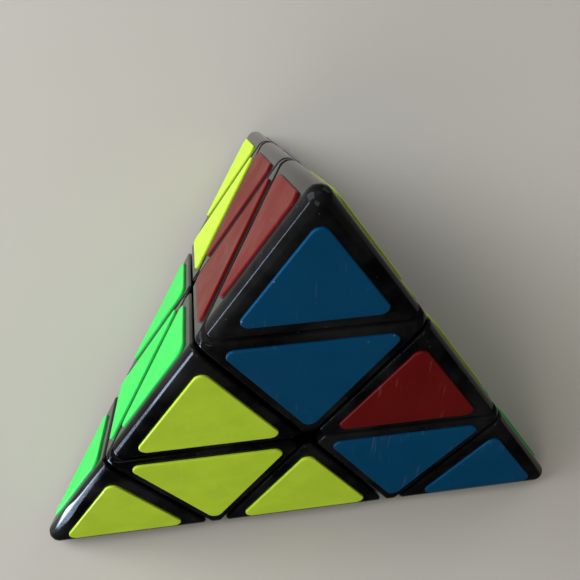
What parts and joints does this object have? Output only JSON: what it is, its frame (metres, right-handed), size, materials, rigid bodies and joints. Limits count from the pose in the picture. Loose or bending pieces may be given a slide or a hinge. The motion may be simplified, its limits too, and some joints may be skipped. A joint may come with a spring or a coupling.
{
  "type": "pyramid twisty puzzle",
  "caption": "Tetrahedral twisty puzzle: black plastic pyramid with rounded triangular colour tiles, turning tips and turning corner layers on a sprung core.",
  "frame": {"origin": "centre of the core, where the four turning axes meet; it is also the pyramid's centroid", "axes": "+Z along the top corner's turning axis, with the bottom face flat below; -Y is the front face's side and +Y is the back corner's"},
  "size_m": [0.0982, 0.0856, 0.0813],
  "materials": {
    "black_plastic": "gloss",
    "core_plastic": "matte",
    "blue_tile": "satin",
    "red_tile": "satin",
    "yellow_tile": "satin",
    "green_tile": "satin",
    "steel": "zinc plated",
    "spring_steel": "drawn wire",
    "brass": "satin"
  },
  "bodies": {
    "core": {"core": "core_plastic", "core_screws": "steel", "core_washers": "brass", "core_springs": "spring_steel"},
    "top_layer": {"top_axial": "black_plastic", "top_axial_tile_front": "blue_tile", "top_axial_tile_left": "red_tile", "top_axial_tile_right": "yellow_tile"},
    "top_tip": {"top_tip": "black_plastic", "top_tip_tile_front": "blue_tile", "top_tip_tile_left": "red_tile", "top_tip_tile_right": "yellow_tile"},
    "left_layer": {"left_axial": "black_plastic", "left_axial_tile_front": "yellow_tile", "left_axial_tile_left": "green_tile", "left_axial_tile_bottom": "red_tile"},
    "left_tip": {"left_tip": "black_plastic", "left_tip_tile_front": "yellow_tile", "left_tip_tile_left": "green_tile", "left_tip_tile_bottom": "red_tile"},
    "right_layer": {"right_axial": "black_plastic", "right_axial_tile_front": "blue_tile", "right_axial_tile_right": "green_tile", "right_axial_tile_bottom": "red_tile"},
    "right_tip": {"right_tip": "black_plastic", "right_tip_tile_front": "blue_tile", "right_tip_tile_right": "green_tile", "right_tip_tile_bottom": "red_tile"},
    "back_layer": {"back_axial": "black_plastic", "back_axial_tile_left": "yellow_tile", "back_axial_tile_right": "blue_tile", "back_axial_tile_bottom": "green_tile"},
    "back_tip": {"back_tip": "black_plastic", "back_tip_tile_left": "yellow_tile", "back_tip_tile_right": "blue_tile", "back_tip_tile_bottom": "green_tile"},
    "front_left_edge": {"front_left_edge": "black_plastic", "front_left_foot": "black_plastic", "front_left_edge_tile_front": "yellow_tile", "front_left_edge_tile_left": "green_tile"},
    "front_right_edge": {"front_right_edge": "black_plastic", "front_right_foot": "black_plastic", "front_right_edge_tile_front": "red_tile", "front_right_edge_tile_right": "yellow_tile"},
    "back_edge": {"back_edge": "black_plastic", "back_foot": "black_plastic", "back_edge_tile_left": "red_tile", "back_edge_tile_right": "blue_tile"},
    "bottom_front_edge": {"bottom_front_edge": "black_plastic", "bottom_front_foot": "black_plastic", "bottom_front_edge_tile_front": "yellow_tile", "bottom_front_edge_tile_bottom": "blue_tile"},
    "bottom_left_edge": {"bottom_left_edge": "black_plastic", "bottom_left_foot": "black_plastic", "bottom_left_edge_tile_left": "green_tile", "bottom_left_edge_tile_bottom": "red_tile"},
    "bottom_right_edge": {"bottom_right_edge": "black_plastic", "bottom_right_foot": "black_plastic", "bottom_right_edge_tile_right": "blue_tile", "bottom_right_edge_tile_bottom": "green_tile"}
  },
  "joints": [
    {"name": "top_layer_turn", "type": "hinge", "parent": "core", "child": "top_layer", "pos_m": [0, 0, 0], "axis": [0, 0, 1], "range_deg": [-120, 240]},
    {"name": "top_tip_turn", "type": "hinge", "parent": "top_layer", "child": "top_tip", "pos_m": [0, 0, 0], "axis": [0, 0, 1], "continuous": true},
    {"name": "left_layer_turn", "type": "hinge", "parent": "core", "child": "left_layer", "pos_m": [0, 0, 0], "axis": [-0.8165, -0.4714, -0.3333], "range_deg": [-120, 240]},
    {"name": "left_tip_turn", "type": "hinge", "parent": "left_layer", "child": "left_tip", "pos_m": [0, 0, 0], "axis": [-0.8165, -0.4714, -0.3333], "continuous": true},
    {"name": "right_layer_turn", "type": "hinge", "parent": "core", "child": "right_layer", "pos_m": [0, 0, 0], "axis": [0.8165, -0.4714, -0.3333], "range_deg": [-120, 240]},
    {"name": "right_tip_turn", "type": "hinge", "parent": "right_layer", "child": "right_tip", "pos_m": [0, 0, 0], "axis": [0.8165, -0.4714, -0.3333], "continuous": true},
    {"name": "back_layer_turn", "type": "hinge", "parent": "core", "child": "back_layer", "pos_m": [0, 0, 0], "axis": [0, 0.9428, -0.3333], "range_deg": [-120, 240]},
    {"name": "back_tip_turn", "type": "hinge", "parent": "back_layer", "child": "back_tip", "pos_m": [0, 0, 0], "axis": [0, 0.9428, -0.3333], "continuous": true},
    {"name": "front_left_edge_turn", "type": "hinge", "parent": "top_layer", "child": "front_left_edge", "pos_m": [0, 0, 0], "axis": [-0.8165, -0.4714, -0.3333], "range_deg": [-120, 240]},
    {"name": "front_right_edge_turn", "type": "hinge", "parent": "top_layer", "child": "front_right_edge", "pos_m": [0, 0, 0], "axis": [0.8165, -0.4714, -0.3333], "range_deg": [-120, 240]},
    {"name": "back_edge_turn", "type": "hinge", "parent": "top_layer", "child": "back_edge", "pos_m": [0, 0, 0], "axis": [0, 0.9428, -0.3333], "range_deg": [-120, 240]},
    {"name": "bottom_front_edge_turn", "type": "hinge", "parent": "right_layer", "child": "bottom_front_edge", "pos_m": [0, 0, 0], "axis": [-0.8165, -0.4714, -0.3333], "range_deg": [-120, 240]},
    {"name": "bottom_left_edge_turn", "type": "hinge", "parent": "left_layer", "child": "bottom_left_edge", "pos_m": [0, 0, 0], "axis": [0, 0.9428, -0.3333], "range_deg": [-120, 240]},
    {"name": "bottom_right_edge_turn", "type": "hinge", "parent": "back_layer", "child": "bottom_right_edge", "pos_m": [0, 0, 0], "axis": [0.8165, -0.4714, -0.3333], "range_deg": [-120, 240]}
  ],
  "couplings": [
    {"joint": "front_left_edge_turn", "follows": "left_layer_turn", "ratio": 1},
    {"joint": "front_right_edge_turn", "follows": "right_layer_turn", "ratio": 1},
    {"joint": "back_edge_turn", "follows": "back_layer_turn", "ratio": 1},
    {"joint": "bottom_front_edge_turn", "follows": "left_layer_turn", "ratio": 1},
    {"joint": "bottom_left_edge_turn", "follows": "back_layer_turn", "ratio": 1},
    {"joint": "bottom_right_edge_turn", "follows": "right_layer_turn", "ratio": 1}
  ]
}
